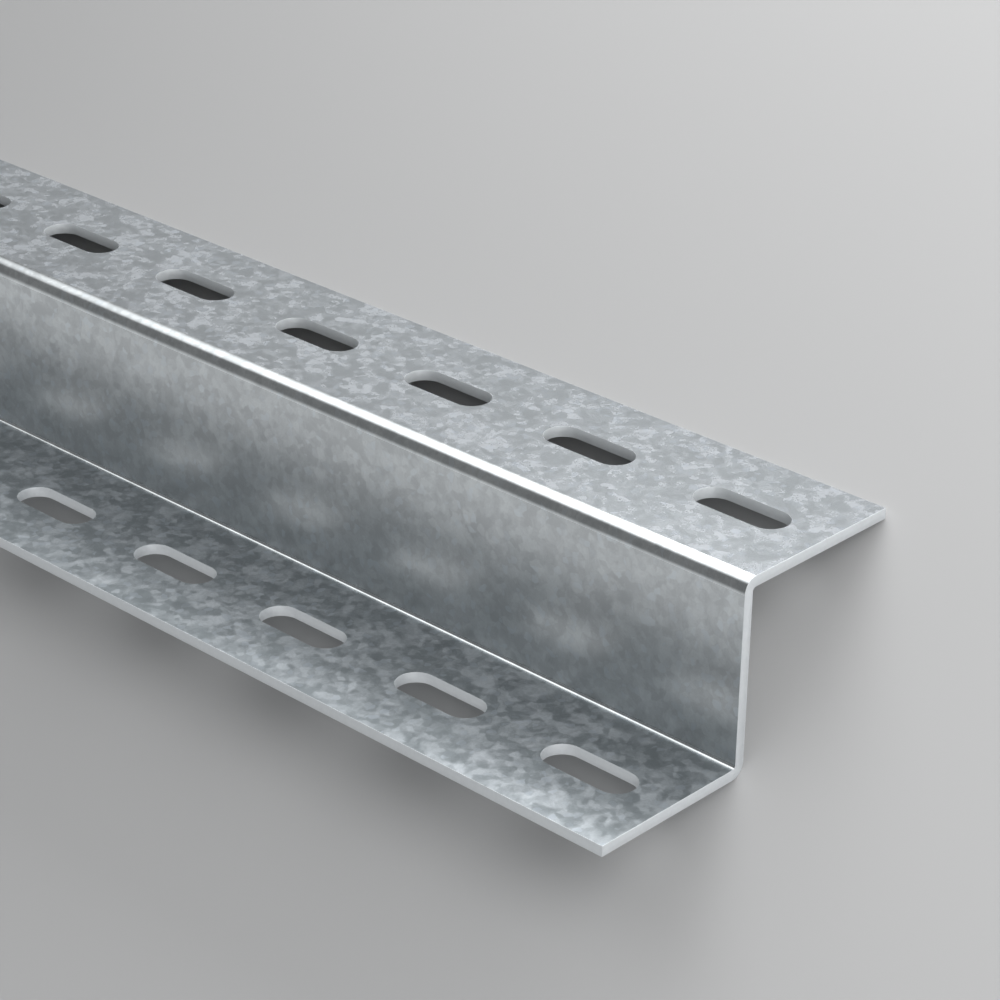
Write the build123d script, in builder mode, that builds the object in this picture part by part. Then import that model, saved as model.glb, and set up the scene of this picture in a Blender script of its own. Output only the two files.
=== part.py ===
from build123d import *
from math import atan2, asin, cos, floor, hypot, sin
import os

# Cold-folded Z section of galvanised steel strip with a row of slots in each flange.
# Millimetres. X runs along the length, Y from the lower flange's edge to the upper one's, Z up.
# The section can't stand on its lower flange, because its weight lies behind the web, so it is
# modelled as it lies unheld: on the heel of the lower fold and the free edge of the upper flange.
# The origin is on the floor, in the middle of the length and of the width that the section covers.

# Stock length and folded strip
length = 2000.0
thickness = 3.0
fold_inner_radius = 1.0

# Flat widths of the section
web_height = 54.0  # underside of the lower flange to the top of the upper flange
upper_flange_width = 54.0  # front of the web to the upper flange's free edge
lower_flange_width = 51.0  # back of the web to the lower flange's free edge

# Slots for M10 bolts, long way along the length
slot_length = 28.0
slot_width = 11.0
slot_pitch = 50.0
least_end_to_slot_centre = 25.0  # saw cut to the middle of the first slot
upper_edge_to_slot_row = 25.0  # upper flange's free edge to its slots' centre line
lower_edge_to_slot_row = 23.5  # lower flange's free edge to its slots' centre line

# Section in its own upright frame: across from the front of the web, up from the lower flange
fold_outer_radius = fold_inner_radius + thickness
lower_edge = thickness - lower_flange_width
upper_edge = upper_flange_width
upper_underside = web_height - thickness
heel = (thickness - fold_outer_radius, fold_outer_radius)

# Lean of the upright section, backwards about X, until the upper flange's free edge is level
# with the lowest point of the heel's arc
heel_to_edge = (upper_edge - heel[0], upper_underside - heel[1])
lean = atan2(heel_to_edge[1], heel_to_edge[0]) + asin(fold_outer_radius / hypot(*heel_to_edge))
leaning = Plane(origin=(0, 0, 0), x_dir=(0, cos(lean), -sin(lean)), z_dir=(1, 0, 0))

# The leaning section, moved so that it lies on the floor with its width and length centred
foremost = leaning.from_local_coords((lower_edge, 0)).Y
hindmost = leaning.from_local_coords((upper_edge, web_height)).Y
floor_level = leaning.from_local_coords(heel).Z - fold_outer_radius
web_foot = (-length / 2, -(foremost + hindmost) / 2, -floor_level)
resting = Plane(origin=web_foot, x_dir=leaning.x_dir, z_dir=leaning.z_dir)

# Slot rows, centred on the length: position across, and the face that the punch enters
slot_count = floor((length - 2 * least_end_to_slot_centre) / slot_pitch) + 1
slot_rows = (
    (upper_edge - upper_edge_to_slot_row, web_height),
    (lower_edge + lower_edge_to_slot_row, thickness),
)

with BuildPart() as z_section_profile:
    # One strip of even thickness, drawn by its underside and back face and folded twice
    with BuildSketch(resting):
        with BuildLine():
            FilletPolyline(
                (lower_edge, 0),
                (thickness, 0),
                (thickness, upper_underside),
                (upper_edge, upper_underside),
                radius=(fold_outer_radius, fold_inner_radius),
            )
            offset(amount=thickness, side=Side.LEFT)
        make_face()
    extrude(amount=length)

    # Slots punched square through each flange
    for across, face_height in slot_rows:
        row_centre = resting.from_local_coords((across, face_height, length / 2))
        with BuildSketch(Plane(origin=row_centre, x_dir=(1, 0, 0), z_dir=resting.y_dir)):
            with GridLocations(slot_pitch, slot_pitch, slot_count, 1):
                SlotOverall(slot_length, slot_width)
        extrude(amount=-thickness, mode=Mode.SUBTRACT)

z_section_profile.part.label = "z_section_profile"

os.makedirs("parts", exist_ok=True)
export_step(z_section_profile.part, "parts/z_section_profile.step")
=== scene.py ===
import bmesh
import bpy
from math import asin, atan2, cos, hypot, pi, radians, sin
from mathutils import Euler, Matrix, Vector


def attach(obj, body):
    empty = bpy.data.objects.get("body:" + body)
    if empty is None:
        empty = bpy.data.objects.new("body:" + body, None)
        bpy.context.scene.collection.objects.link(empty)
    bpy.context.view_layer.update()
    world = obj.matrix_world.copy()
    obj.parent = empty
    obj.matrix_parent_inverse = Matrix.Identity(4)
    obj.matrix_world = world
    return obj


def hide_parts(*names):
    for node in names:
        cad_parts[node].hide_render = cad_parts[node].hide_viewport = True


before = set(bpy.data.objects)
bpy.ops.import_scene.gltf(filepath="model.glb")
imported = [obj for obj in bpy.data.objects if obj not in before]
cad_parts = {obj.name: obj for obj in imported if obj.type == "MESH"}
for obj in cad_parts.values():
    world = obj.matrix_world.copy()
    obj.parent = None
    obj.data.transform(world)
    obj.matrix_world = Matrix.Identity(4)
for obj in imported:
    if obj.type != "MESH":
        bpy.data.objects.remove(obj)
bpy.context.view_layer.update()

# Real sizes in millimetres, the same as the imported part's
LENGTH = 2000.0
THICKNESS = 3.0
FOLD_INNER = 1.0
FOLD_OUTER = FOLD_INNER + THICKNESS
WEB_HEIGHT = 54.0
UPPER_WIDTH = 54.0
LOWER_WIDTH = 51.0
SLOT_LENGTH = 28.0
SLOT_WIDTH = 11.0
SLOT_PITCH = 50.0
SLOTS_PER_ROW = 40
UPPER_EDGE_TO_ROW = 25.0
LOWER_EDGE_TO_ROW = 23.5
EDGE_BREAK = 0.12  # worn corner of every sheared and sawn edge
SLOT_BREAK = 0.04  # worn corner of the punched slots
MM = 0.001

# Upright section: across (Y) from the front of the web, up (Z) from the lower flange's underside
LOWER_EDGE = THICKNESS - LOWER_WIDTH
UPPER_EDGE = UPPER_WIDTH
UPPER_UNDERSIDE = WEB_HEIGHT - THICKNESS
UPPER_ROW = UPPER_EDGE - UPPER_EDGE_TO_ROW
LOWER_ROW = LOWER_EDGE + LOWER_EDGE_TO_ROW
HEEL = (THICKNESS - FOLD_OUTER, FOLD_OUTER)

# Backward lean at which the heel and the upper flange's free edge both touch the floor
HEEL_TO_EDGE = (UPPER_EDGE - HEEL[0], UPPER_UNDERSIDE - HEEL[1])
LEAN = atan2(HEEL_TO_EDGE[1], HEEL_TO_EDGE[0]) + asin(FOLD_OUTER / hypot(*HEEL_TO_EDGE))

# Facets of the roundings
FOLD_STEPS = 16
SLOT_END_STEPS = 10

# How the mesh is made, in millimetres: flat left between two roundings, and what is welded
ROUNDING_GAP = 0.001
ROUNDING_WELD = 0.01
CUT_WELD = 0.002

# Which finish a face takes
UPPER, LOWER, WEB, FOLD, CUT = range(5)
LOOKS_ALONG = 0.9  # a face whose normal has this much of an axis looks along it
LOOKS_ASKEW = 0.01  # a face with more than this of both Y and Z is on a fold
EDGE_BAND = 0.1  # millimetres from a free edge within which a face belongs to it
WORN_CORNER = radians(60)  # corners sharper than this are worn
SHADED_CORNER = radians(25)  # corners blunter than this are shaded smooth

# Spangle of the zinc in millimetres
CRYSTAL = 4.2
CHIP = 2.0  # smaller grains inside the crystals
PATCH = 0.8 * CRYSTAL  # where the hairs run one way
HAIR = 2.4
HAIR_SHAPE = (1.0, 4.0, 4.0)  # squeezed in width
CLOUD = 14.0
RUN = 2.5
RUN_SHAPE = (1.0, 1.0, 0.12)  # drawn out up the web
GRAIN = 1.5  # on the sheared faces

# How the spangle is laid out and toned, as shares
SHAKE = 0.5  # of a crystal, by which borders are shaken
CRYSTAL_BLEND = 0.4
CHIP_BLEND = 0.35
NOISE_BAND = (0.3, 0.7)  # part of a noise's range that is spread over its full swing
TONE_BAND = (0.2, 0.8)
TONE_TOP = 0.8
FEATHER_SWING = 0.175
CLOUD_SWING = 0.15
FLECK_BAND = (0.76, 0.96)
FLECK_SHARE = 0.5
FLECK_TINT = (0.98, 1.01, 1.05)

# Sheared and punched faces
SHEARED_DARK = (0.64, 0.67, 0.69)
SHEARED_PALE = (0.76, 0.79, 0.81)
SHEARED_METAL = 0.4
SHEARED_ROUGHNESS = (0.42, 0.58)

# Floor: half its side in metres, and its grey
FLOOR_REACH = 6
FLOOR_GREY = 0.52
FLOOR_ROUGHNESS = 0.9

# Studio: brightness of the walls and ceiling. The front wall turns into the back wall within the
# first number on either side of the middle, and the walls end between two sines of elevation.
FRONT_WALL = 0.74
BACK_WALL = 0.10
WALL_TURN = 0.3
CEILING = 0.20
WALL_TOP = (0.20, 0.48)
AIR_TINT = (0.98, 0.99, 1.0)
# Bright side of the studio: its radiance, and the fades that bound it. Each fade is a direction,
# and the cosines to it at which the studio is still dim and at which it is bright.
BRIGHT_SIDE = 1.9
BRIGHT_FADES = (
    ((0.633, 0.590, 0.500), (-0.05, 0.14)),
    ((0.633, 0.590, 0.500), (0.80, 0.40)),
    ((0.377, 0.922, 0.088), (-0.06, 0.14)),
)

# Camera at the photograph's viewing angle: above the near end, looking down along the length
SENSOR = 36
LENS = 111.2801
CAMERA_PLACE = (1.391729, -0.117126, 0.630550)
CAMERA_TURN = (29.138119, 27.633410, 34.891283)


# Shape of the section
def leaned(across, up):
    """Turns a place in the upright section to where it is once the section leans back."""
    return (across * cos(LEAN) + up * sin(LEAN), up * cos(LEAN) - across * sin(LEAN))


def laid_down():
    """Turns the upright section in millimetres to how it lies on the floor in metres."""
    foremost = leaned(LOWER_EDGE, 0)[0]
    hindmost = leaned(UPPER_EDGE, WEB_HEIGHT)[0]
    floor_level = leaned(*HEEL)[1] - FOLD_OUTER
    move = Matrix.Translation((0, -(foremost + hindmost) / 2, -floor_level))
    return Matrix.Scale(MM, 4) @ move @ Matrix.Rotation(-LEAN, 4, "X")


def new_object(name, bm):
    mesh = bpy.data.meshes.new(name)
    bm.to_mesh(mesh)
    bm.free()
    obj = bpy.data.objects.new(name, mesh)
    bpy.context.collection.objects.link(obj)
    return obj


def everything(bm):
    return bm.verts[:] + bm.edges[:] + bm.faces[:]


def strip_outline(bm):
    """Walks one point round the section's square-cornered outline and fills it."""
    walk = [
        (LOWER_WIDTH, 0),
        (0, UPPER_UNDERSIDE),
        (UPPER_WIDTH - THICKNESS, 0),
        (0, THICKNESS),
        (-UPPER_WIDTH, 0),
        (0, -UPPER_UNDERSIDE),
        (LOWER_EDGE, 0),
    ]
    start = bmesh.ops.create_vert(bm, co=(-LENGTH / 2, LOWER_EDGE, 0))["vert"][0]
    point = start
    for across, up in walk:
        point = bmesh.ops.extrude_vert_indiv(bm, verts=[point])["verts"][0]
        bmesh.ops.translate(bm, verts=[point], vec=(0, across, up))
    bmesh.ops.contextual_create(bm, geom=[point, start])
    bmesh.ops.edgenet_fill(bm, edges=bm.edges[:])


def round_fold(bm, across, up, radius):
    """Rounds the outline's corner at that place to the fold's radius."""
    corner = min(bm.verts, key=lambda v: hypot(v.co.y - across, v.co.z - up))
    bmesh.ops.bevel(bm, geom=[corner], offset=radius, offset_type="OFFSET", segments=FOLD_STEPS,
                    profile=0.5, affect="VERTICES", clamp_overlap=False, material=-1)


def finish_of(face):
    """Says which finish a face of the unpunched strip takes, from where it looks."""
    n = face.normal
    here = face.calc_center_median()
    if abs(n.x) > LOOKS_ALONG:
        return CUT
    if min(abs(n.y), abs(n.z)) > LOOKS_ASKEW:
        return FOLD
    if abs(n.z) > LOOKS_ALONG:
        return UPPER if here.z > WEB_HEIGHT / 2 else LOWER
    if here.y < LOWER_EDGE + EDGE_BAND or here.y > UPPER_EDGE - EDGE_BAND:
        return CUT
    return WEB


def strip_body():
    """The folded strip without its slots, upright and in millimetres."""
    bm = bmesh.new()
    strip_outline(bm)
    round_fold(bm, THICKNESS, 0, FOLD_OUTER)
    round_fold(bm, THICKNESS, UPPER_UNDERSIDE, FOLD_INNER)
    round_fold(bm, 0, WEB_HEIGHT, FOLD_OUTER)
    round_fold(bm, 0, THICKNESS, FOLD_INNER)
    grown = bmesh.ops.extrude_face_region(bm, geom=bm.faces[:])
    moved = [v for v in grown["geom"] if isinstance(v, bmesh.types.BMVert)]
    bmesh.ops.translate(bm, verts=moved, vec=(LENGTH, 0, 0))
    bmesh.ops.recalc_face_normals(bm, faces=bm.faces[:])

    # One bay per slot, and a seam down the middle of each row, so that a slot notches few faces
    for k in range(1, SLOTS_PER_ROW):
        bay = -LENGTH / 2 + k * SLOT_PITCH
        bmesh.ops.bisect_plane(bm, geom=everything(bm), plane_co=(bay, 0, 0), plane_no=(1, 0, 0))
    for row in (UPPER_ROW, LOWER_ROW):
        sides = [f for f in bm.faces if abs(f.normal.z) > LOOKS_ALONG]
        around = {e for f in sides for e in f.edges} | {v for f in sides for v in f.verts}
        bmesh.ops.bisect_plane(bm, geom=list(around) + sides,
                               plane_co=(0, row, 0), plane_no=(0, 1, 0))
    bm.normal_update()
    for face in bm.faces:
        face.material_index = finish_of(face)
    return new_object("z_section", bm)


def slot_punches():
    """Every slot of both rows as a round-ended block."""
    bm = bmesh.new()
    bmesh.ops.create_cube(bm, size=1)
    bmesh.ops.scale(bm, verts=bm.verts[:], vec=(SLOT_LENGTH, SLOT_WIDTH, 3 * THICKNESS))
    upright = [e for e in bm.edges if abs(e.verts[0].co.z - e.verts[1].co.z) > THICKNESS]
    bmesh.ops.bevel(bm, geom=upright, offset=SLOT_WIDTH / 2 - ROUNDING_GAP, offset_type="OFFSET",
                    segments=SLOT_END_STEPS, profile=0.5, affect="EDGES", clamp_overlap=False,
                    material=-1)
    bmesh.ops.remove_doubles(bm, verts=bm.verts[:], dist=ROUNDING_WELD)
    first = -(SLOTS_PER_ROW - 1) * SLOT_PITCH / 2
    bmesh.ops.translate(bm, verts=bm.verts[:],
                        vec=(first, UPPER_ROW, WEB_HEIGHT - THICKNESS / 2))
    low = bmesh.ops.duplicate(bm, geom=everything(bm))["geom"]
    bmesh.ops.translate(bm, verts=[v for v in low if isinstance(v, bmesh.types.BMVert)],
                        vec=(0, LOWER_ROW - UPPER_ROW, THICKNESS - WEB_HEIGHT))
    bmesh.ops.spin(bm, geom=everything(bm), angle=0, axis=(0, 0, 1), cent=(0, 0, 0),
                   dvec=(SLOT_PITCH, 0, 0), steps=SLOTS_PER_ROW - 1, use_duplicate=True)
    bmesh.ops.recalc_face_normals(bm, faces=bm.faces[:])
    for face in bm.faces:
        face.material_index = CUT
    return new_object("slot_punches", bm)


def on_slot_rim(edge):
    """Says whether a square edge belongs to a slot and not to the strip's own outline."""
    inset = 2 * EDGE_BREAK
    return all(abs(v.co.x) < LENGTH / 2 - inset
               and LOWER_EDGE + inset < v.co.y < UPPER_EDGE - inset for v in edge.verts)


def punched_strip(finishes_and_shading):
    """The strip with its slots and worn edges, as it lies on the floor."""
    body = strip_body()
    punches = slot_punches()
    for obj in (body, punches):
        for finish in finishes_and_shading:
            obj.data.materials.append(finish)
    cut = body.modifiers.new("punch", "BOOLEAN")
    cut.operation = "DIFFERENCE"
    cut.solver = "EXACT"
    cut.object = punches
    evaluated = body.evaluated_get(bpy.context.evaluated_depsgraph_get())
    punched = bpy.data.meshes.new_from_object(evaluated)
    body.modifiers.clear()
    bpy.data.objects.remove(punches)

    bm = bmesh.new()
    bm.from_mesh(punched)
    bpy.data.meshes.remove(punched)
    bmesh.ops.remove_doubles(bm, verts=bm.verts[:], dist=CUT_WELD)
    for rims, worn in ((False, EDGE_BREAK), (True, SLOT_BREAK)):
        square = [e for e in bm.edges if e.is_manifold and e.calc_face_angle() > WORN_CORNER
                  and on_slot_rim(e) == rims]
        bmesh.ops.bevel(bm, geom=square, offset=worn, offset_type="OFFSET", segments=2,
                        profile=0.5, affect="EDGES", clamp_overlap=True, material=CUT)
    bmesh.ops.transform(bm, matrix=laid_down(), verts=bm.verts[:])
    bm.normal_update()
    for face in bm.faces:
        face.smooth = face.material_index in (FOLD, CUT)
    for edge in bm.edges:
        a, b = edge.link_faces
        edge.smooth = (a.material_index == b.material_index
                       and edge.calc_face_angle() < SHADED_CORNER)
    bm.to_mesh(body.data)
    bm.free()
    return body


# Node helpers
def node(tree, kind, **values):
    """A new node, with its inputs or its settings of those names set."""
    made = tree.nodes.new(kind)
    for key, value in values.items():
        if key in made.inputs:
            made.inputs[key].default_value = value
        else:
            setattr(made, key, value)
    return made


def link(tree, output, target):
    tree.links.new(output, target)


def maths(tree, operation, a, b):
    made = node(tree, "ShaderNodeMath", operation=operation)
    link(tree, a, made.inputs[0])
    link(tree, b, made.inputs[1])
    return made.outputs[0]


def vector_maths(tree, operation, a, b):
    """Works on a vector and another one, a constant one, or a number to scale by."""
    made = node(tree, "ShaderNodeVectorMath", operation=operation)
    link(tree, a, made.inputs[0])
    if operation == "SCALE":
        made.inputs["Scale"].default_value = b
    elif isinstance(b, tuple):
        made.inputs[1].default_value = b
    else:
        link(tree, b, made.inputs[1])
    return made.outputs["Value" if operation == "DOT_PRODUCT" else "Vector"]


def ramp(tree, value, low, high, to_low, to_high):
    """Spreads low to high over to_low to to_high, and holds it there."""
    made = node(tree, "ShaderNodeMapRange", **{"From Min": low, "From Max": high,
                                               "To Min": to_low, "To Max": to_high})
    link(tree, value, made.inputs["Value"])
    return made.outputs["Result"]


def swing(tree, value, amount):
    """Spreads a noise's usual range over that amount to either side of nought."""
    return ramp(tree, value, *NOISE_BAND, -amount, amount)


def fade_to(tree, share, value, number):
    made = node(tree, "ShaderNodeMix", data_type="FLOAT")
    link(tree, share, made.inputs[0])
    link(tree, value, made.inputs[2])
    made.inputs[3].default_value = number
    return made.outputs[0]


def blend(tree, share, a, b):
    """Mixes two colours, each of them a constant or another node's output."""
    made = node(tree, "ShaderNodeMix", data_type="RGBA")
    link(tree, share, made.inputs[0])
    for k, colour in ((6, a), (7, b)):
        if isinstance(colour, tuple):
            made.inputs[k].default_value = (*colour, 1)
        else:
            link(tree, colour, made.inputs[k])
    return made.outputs[2]


def noise(tree, place, size, detail=3.0):
    """Noise whose largest features are about that many millimetres."""
    made = node(tree, "ShaderNodeTexNoise", Scale=1 / (size * MM), Detail=detail, Roughness=0.6)
    link(tree, place, made.inputs["Vector"])
    return made.outputs


def cells(tree, place, size, smoothness=0):
    """Random cells of about that many millimetres, which blend by that much at their borders."""
    made = node(tree, "ShaderNodeTexVoronoi", feature="SMOOTH_F1" if smoothness else "F1")
    made.inputs["Scale"].default_value = 1 / (size * MM)
    if smoothness:
        made.inputs["Smoothness"].default_value = smoothness
    link(tree, place, made.inputs["Vector"])
    return made.outputs


def channel(tree, colour, k):
    made = node(tree, "ShaderNodeSeparateColor")
    link(tree, colour, made.inputs[0])
    return made.outputs[k]


def new_material(name):
    """A material, its node tree and its shader's inputs."""
    material = bpy.data.materials.new(name)
    material.use_nodes = True
    tree = material.node_tree
    return material, tree, tree.nodes["Principled BSDF"].inputs


# Finishes
def zinc(name, tilt, roughness, metal, dark, pale, streaks=0.0):
    """Hot-dip zinc: crystals of a few millimetres, each with its own tilt, tone and feathering.

    The paler a crystal is, the duller it is too, down to that share of metal.
    """
    material, tree, inputs = new_material(name)
    inputs["Roughness"].default_value = roughness
    place = node(tree, "ShaderNodeTexCoord").outputs["Object"]
    middle = (0.5, 0.5, 0.5)

    # Ragged crystal borders: the place is shaken by noise before the cells are laid out
    shake = vector_maths(tree, "SUBTRACT", noise(tree, place, CRYSTAL)["Color"], middle)
    shake = vector_maths(tree, "SCALE", shake, SHAKE * CRYSTAL * MM)
    shaken = vector_maths(tree, "ADD", place, shake)
    crystals = cells(tree, shaken, CRYSTAL, CRYSTAL_BLEND)["Color"]
    chips = cells(tree, shaken, CHIP, CHIP_BLEND)["Color"]
    mixed = vector_maths(tree, "ADD", vector_maths(tree, "SCALE", crystals, 0.5),
                         vector_maths(tree, "SCALE", chips, 0.5))

    # Feathering: short hairs that run another way in each patch
    patches = cells(tree, shaken, PATCH)
    turned = node(tree, "ShaderNodeVectorRotate", rotation_type="EULER_XYZ")
    link(tree, vector_maths(tree, "SUBTRACT", shaken, patches["Position"]), turned.inputs["Vector"])
    link(tree, vector_maths(tree, "SCALE", patches["Color"], 2 * pi), turned.inputs["Rotation"])
    hairs = vector_maths(tree, "MULTIPLY", turned.outputs[0], HAIR_SHAPE)
    hairs = vector_maths(tree, "ADD", hairs, patches["Color"])

    # Each crystal's own tilt
    slope = vector_maths(tree, "SUBTRACT", mixed, middle)
    slope = vector_maths(tree, "SCALE", slope, tilt)
    face = node(tree, "ShaderNodeNewGeometry").outputs["Normal"]
    unit = node(tree, "ShaderNodeVectorMath", operation="NORMALIZE")
    link(tree, vector_maths(tree, "ADD", face, slope), unit.inputs[0])
    link(tree, unit.outputs[0], inputs["Normal"])

    # Tone: crystals, feathering and soft clouds, and on the web runs that follow its own plane
    tone = ramp(tree, channel(tree, mixed, 0), *TONE_BAND, 0.0, TONE_TOP)
    swings = [(noise(tree, hairs, HAIR, 2.0), FEATHER_SWING),
              (noise(tree, place, CLOUD, 4.0), CLOUD_SWING)]
    if streaks:
        upright = node(tree, "ShaderNodeMapping", Rotation=(LEAN, 0, 0))
        link(tree, place, upright.inputs["Vector"])
        runs = vector_maths(tree, "MULTIPLY", upright.outputs[0], RUN_SHAPE)
        swings.append((noise(tree, runs, RUN), streaks))
    for pattern, amount in swings:
        tone = maths(tree, "ADD", tone, swing(tree, pattern["Fac"], amount))

    # Scattered chips that shine paler and bluer
    fleck = ramp(tree, channel(tree, chips, 1), *FLECK_BAND, 0.0, FLECK_SHARE)
    flecked = tuple(part * tint for part, tint in zip(pale, FLECK_TINT))
    dull = maths(tree, "MAXIMUM", ramp(tree, tone, *TONE_BAND, 0.0, 1.0), fleck)
    link(tree, ramp(tree, dull, 0.0, 1.0, 1.0, metal), inputs["Metallic"])
    link(tree, blend(tree, fleck, blend(tree, tone, dark, pale), flecked), inputs["Base Color"])
    return material


def sheared_steel(name):
    """Cut faces: plain pale metal with a fine, even grain."""
    material, tree, inputs = new_material(name)
    inputs["Metallic"].default_value = SHEARED_METAL
    place = node(tree, "ShaderNodeTexCoord").outputs["Object"]
    grain = noise(tree, place, GRAIN, 4.0)["Fac"]
    link(tree, blend(tree, grain, SHEARED_DARK, SHEARED_PALE), inputs["Base Color"])
    link(tree, ramp(tree, grain, *NOISE_BAND, *SHEARED_ROUGHNESS), inputs["Roughness"])
    return material


# One coated sheet runs through the flanges, web and fold, yet each face below gets its own dark and
# pale tones. The fold's smoother, less tilted zinc is real stretching. The differences in tone
# between the faces are painted light and shade: the upper flange is set darker, the web and fold
# paler, and the lower flange's dark tone is lowered for the shade near the web. This makes each
# face render about as bright as it looks under these lamps.
finishes_and_shading = [
    zinc("upper_zinc", tilt=0.04, roughness=0.26, metal=0.55,
         dark=(0.44, 0.47, 0.49), pale=(0.51, 0.54, 0.57)),
    zinc("lower_zinc", tilt=0.05, roughness=0.31, metal=0.85,
         dark=(0.40, 0.44, 0.46), pale=(0.60, 0.64, 0.67)),
    zinc("web_zinc", tilt=0.04, roughness=0.31, metal=1.0,
         dark=(0.55, 0.57, 0.58), pale=(0.70, 0.73, 0.74), streaks=0.12),
    zinc("fold_zinc", tilt=0.01, roughness=0.17, metal=1.0,
         dark=(0.60, 0.63, 0.64), pale=(0.74, 0.77, 0.78)),
    sheared_steel("sheared_steel"),
]
section = punched_strip(finishes_and_shading)
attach(section, "root")
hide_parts("z_section_profile")

# Floor
bm = bmesh.new()
bmesh.ops.create_grid(bm, x_segments=1, y_segments=1, size=FLOOR_REACH)
floor = new_object("floor", bm)
paint, _, paint_inputs = new_material("floor_paint")
paint_inputs["Base Color"].default_value = (FLOOR_GREY, FLOOR_GREY, FLOOR_GREY, 1)
paint_inputs["Roughness"].default_value = FLOOR_ROUGHNESS
floor.data.materials.append(paint)


# Lights
def softbox(name, centre, aim, width, height, radiance):
    """A soft rectangular lamp of that radiance, facing aim."""
    lamp = bpy.data.lights.new(name, "AREA")
    lamp.shape = "RECTANGLE"
    lamp.size = width
    lamp.size_y = height
    lamp.energy = radiance * pi * width * height
    obj = bpy.data.objects.new(name, lamp)
    bpy.context.collection.objects.link(obj)
    obj.location = centre
    obj.rotation_euler = (Vector(centre) - Vector(aim)).to_track_quat("Z", "Y").to_euler()


softbox("low_softbox", centre=(1.19, 0.42, 0.17), aim=(1.19, 0, 0.15),
        width=1.0, height=0.27, radiance=2.6)
softbox("end_softbox", centre=(1.75, 0.15, 0.75), aim=(0.95, 0.05, 0),
        width=0.8, height=0.8, radiance=2.7)

# Walls up to about a head's height, pale in front and dim behind, under a dim ceiling, with one
# bright side
world = bpy.data.worlds.new("studio")
world.use_nodes = True
tree = world.node_tree
towards = node(tree, "ShaderNodeTexCoord").outputs["Generated"]
way = node(tree, "ShaderNodeSeparateXYZ")
link(tree, towards, way.inputs[0])
walls = ramp(tree, way.outputs["Y"], -WALL_TURN, WALL_TURN, FRONT_WALL, BACK_WALL)
above = ramp(tree, way.outputs["Z"], *WALL_TOP, 0.0, 1.0)
dim = fade_to(tree, above, walls, CEILING)
fades = [ramp(tree, vector_maths(tree, "DOT_PRODUCT", towards, direction), *cosines, 0.0, 1.0)
         for direction, cosines in BRIGHT_FADES]
share = maths(tree, "MINIMUM", fades[0], maths(tree, "MINIMUM", fades[1], fades[2]))
background = tree.nodes["Background"].inputs
background["Color"].default_value = (*AIR_TINT, 1)
link(tree, fade_to(tree, share, dim, BRIGHT_SIDE), background["Strength"])
bpy.context.scene.world = world
bpy.context.scene.view_settings.view_transform = "Standard"

camera = bpy.data.objects.new("camera", bpy.data.cameras.new("camera"))
bpy.context.collection.objects.link(camera)
camera.data.sensor_width = SENSOR
camera.data.lens = LENS
camera.location = CAMERA_PLACE
camera.rotation_euler = Euler([radians(a) for a in CAMERA_TURN], "XYZ")
bpy.context.scene.camera = camera
